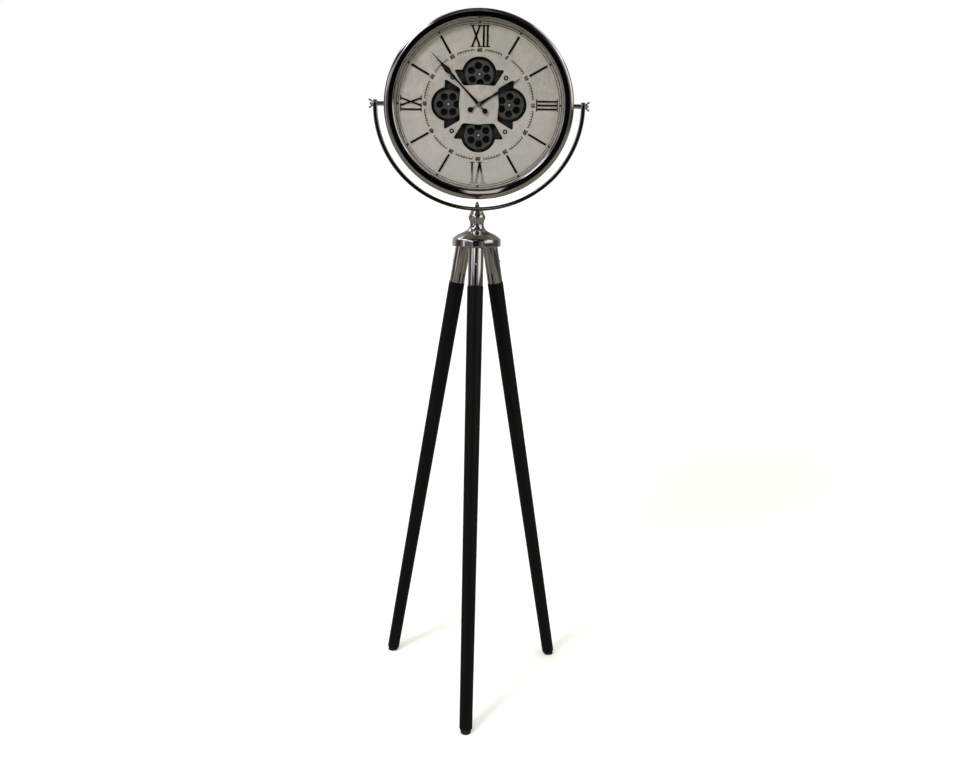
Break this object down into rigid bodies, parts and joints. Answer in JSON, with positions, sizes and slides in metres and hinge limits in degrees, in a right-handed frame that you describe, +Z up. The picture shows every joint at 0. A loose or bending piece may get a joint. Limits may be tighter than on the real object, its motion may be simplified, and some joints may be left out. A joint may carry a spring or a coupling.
{
  "type": "tripod clock",
  "caption": "Round chrome floor clock with exposed gear windows, tilting in a half-ring yoke on a black wooden tripod.",
  "frame": {"origin": "on the floor, under the middle of the whole clock's bounding box; the column's axis stands 0.059 m behind it", "axes": "+Z up, the dial faces -Y, +X to the viewer's right"},
  "size_m": [0.5406, 0.3839, 1.6629],
  "materials": {
    "chrome": "polished chrome plate",
    "steel": "plain bright steel",
    "black_wood": "satin black lacquer over fine grain",
    "rubber": "matte black",
    "glass": "clear flat glass",
    "dial_paper": "printed board, aged grey-beige",
    "rehaut_paint": "matte grey-beige",
    "dark_marker": "dark gloss",
    "hand_black": "satin black",
    "wheel_grey": "dark grey, slightly metallic",
    "plate_black": "matte black",
    "moulded_black": "moulded black plastic"
  },
  "bodies": {
    "stand": {"foot_pad_1": "rubber", "foot_pad_2": "rubber", "foot_pad_3": "rubber", "leg_1": "black_wood", "leg_2": "black_wood", "leg_3": "black_wood", "ferrule_1": "chrome", "ferrule_2": "chrome", "ferrule_3": "chrome", "ferrule_screw_1": "chrome", "ferrule_screw_2": "chrome", "ferrule_screw_3": "chrome", "tripod_head": "chrome", "leg_hub": "steel", "swivel_bolt": "steel", "acorn_nut": "chrome"},
    "yoke": {"yoke": "chrome"},
    "clock": {"case_drum": "chrome", "bezel_ring": "chrome", "front_glass": "glass", "rehaut_ring": "rehaut_paint", "back_cover": "moulded_black", "dial": "dial_paper", "dial_screw_1": "steel", "dial_screw_2": "steel", "dial_screw_3": "steel", "dial_screw_4": "steel", "hour_baton_1": "dark_marker", "hour_baton_2": "dark_marker", "hour_baton_4": "dark_marker", "hour_baton_5": "dark_marker", "hour_baton_7": "dark_marker", "hour_baton_8": "dark_marker", "hour_baton_10": "dark_marker", "hour_baton_11": "dark_marker", "numeral_12": "dark_marker", "numeral_3": "dark_marker", "numeral_6": "dark_marker", "numeral_9": "dark_marker", "gear_plate": "plate_black", "gear_motor": "moulded_black", "movement": "moulded_black", "pivot_stud_left": "chrome", "pivot_stud_right": "chrome"},
    "wing_nut_left": {"wing_nut_left": "chrome"},
    "wing_nut_right": {"wing_nut_right": "chrome"},
    "minute_hand": {"minute_hand": "hand_black", "minute_arbor": "steel", "hand_nut": "steel"},
    "hour_hand": {"hour_hand": "hand_black"},
    "time_set_knob": {"time_set_knob": "moulded_black"},
    "drive_pinion": {"drive_pinion": "steel"},
    "display_wheel_12": {"display_wheel_12": "wheel_grey"},
    "display_wheel_3": {"display_wheel_3": "wheel_grey"},
    "display_wheel_6": {"display_wheel_6": "wheel_grey"},
    "display_wheel_9": {"display_wheel_9": "wheel_grey"},
    "idler_wheel_1_30": {"idler_wheel_1_30": "wheel_grey"},
    "idler_wheel_4_30": {"idler_wheel_4_30": "wheel_grey"},
    "idler_wheel_7_30": {"idler_wheel_7_30": "wheel_grey"},
    "idler_wheel_10_30": {"idler_wheel_10_30": "wheel_grey"}
  },
  "joints": [
    {"name": "yoke_swivel", "type": "hinge", "parent": "stand", "child": "yoke", "pos_m": [0, 0.05901, 1.1833], "axis": [0, 0, 1], "range_deg": [-180, 180]},
    {"name": "head_tilt", "type": "hinge", "parent": "yoke", "child": "clock", "pos_m": [0, 0.05901, 1.4329], "axis": [1, 0, 0], "range_deg": [-180, 180]},
    {"name": "wing_nut_right_turn", "type": "hinge", "parent": "clock", "child": "wing_nut_right", "pos_m": [0.2591, 0.05901, 1.4329], "axis": [1, 0, 0], "range_deg": [0, 360]},
    {"name": "wing_nut_left_turn", "type": "hinge", "parent": "clock", "child": "wing_nut_left", "pos_m": [-0.2591, 0.05901, 1.4329], "axis": [-1, 0, 0], "range_deg": [0, 360]},
    {"name": "minute_hand_turn", "type": "hinge", "parent": "clock", "child": "minute_hand", "pos_m": [0, 0.03976, 1.4329], "axis": [0, 1, 0], "continuous": true},
    {"name": "hour_hand_turn", "type": "hinge", "parent": "clock", "child": "hour_hand", "pos_m": [0, 0.04292, 1.4329], "axis": [0, 1, 0], "continuous": true},
    {"name": "time_set_knob_turn", "type": "hinge", "parent": "clock", "child": "time_set_knob", "pos_m": [0.014, 0.07831, 1.4189], "axis": [0, 1, 0], "continuous": true},
    {"name": "display_wheel_12_turn", "type": "hinge", "parent": "clock", "child": "display_wheel_12", "pos_m": [0, 0.05396, 1.5069], "axis": [0, 1, 0], "continuous": true},
    {"name": "display_wheel_3_turn", "type": "hinge", "parent": "clock", "child": "display_wheel_3", "pos_m": [0.074, 0.05396, 1.4329], "axis": [0, 1, 0], "continuous": true},
    {"name": "display_wheel_6_turn", "type": "hinge", "parent": "clock", "child": "display_wheel_6", "pos_m": [0, 0.05396, 1.3589], "axis": [0, 1, 0], "continuous": true},
    {"name": "display_wheel_9_turn", "type": "hinge", "parent": "clock", "child": "display_wheel_9", "pos_m": [-0.074, 0.05396, 1.4329], "axis": [0, 1, 0], "continuous": true},
    {"name": "idler_wheel_1_30_turn", "type": "hinge", "parent": "clock", "child": "idler_wheel_1_30", "pos_m": [0.06484, 0.05446, 1.49775], "axis": [0, 1, 0], "continuous": true},
    {"name": "idler_wheel_4_30_turn", "type": "hinge", "parent": "clock", "child": "idler_wheel_4_30", "pos_m": [0.06484, 0.05446, 1.36806], "axis": [0, 1, 0], "continuous": true},
    {"name": "idler_wheel_7_30_turn", "type": "hinge", "parent": "clock", "child": "idler_wheel_7_30", "pos_m": [-0.06484, 0.05446, 1.36806], "axis": [0, 1, 0], "continuous": true},
    {"name": "idler_wheel_10_30_turn", "type": "hinge", "parent": "clock", "child": "idler_wheel_10_30", "pos_m": [-0.06484, 0.05446, 1.49775], "axis": [0, 1, 0], "continuous": true},
    {"name": "drive_pinion_turn", "type": "hinge", "parent": "clock", "child": "drive_pinion", "pos_m": [0, 0.05446, 1.31212], "axis": [0, 1, 0], "continuous": true}
  ],
  "couplings": [
    {"joint": "hour_hand_turn", "follows": "minute_hand_turn", "ratio": 0.083333},
    {"joint": "time_set_knob_turn", "follows": "minute_hand_turn", "ratio": -1},
    {"joint": "display_wheel_3_turn", "follows": "display_wheel_12_turn", "ratio": 1},
    {"joint": "display_wheel_6_turn", "follows": "display_wheel_12_turn", "ratio": 1},
    {"joint": "display_wheel_9_turn", "follows": "display_wheel_12_turn", "ratio": 1},
    {"joint": "idler_wheel_1_30_turn", "follows": "display_wheel_12_turn", "ratio": -1.1538},
    {"joint": "idler_wheel_4_30_turn", "follows": "display_wheel_12_turn", "ratio": -1.1538},
    {"joint": "idler_wheel_7_30_turn", "follows": "display_wheel_12_turn", "ratio": -1.1538},
    {"joint": "idler_wheel_10_30_turn", "follows": "display_wheel_12_turn", "ratio": -1.1538},
    {"joint": "drive_pinion_turn", "follows": "display_wheel_12_turn", "ratio": -3}
  ]
}
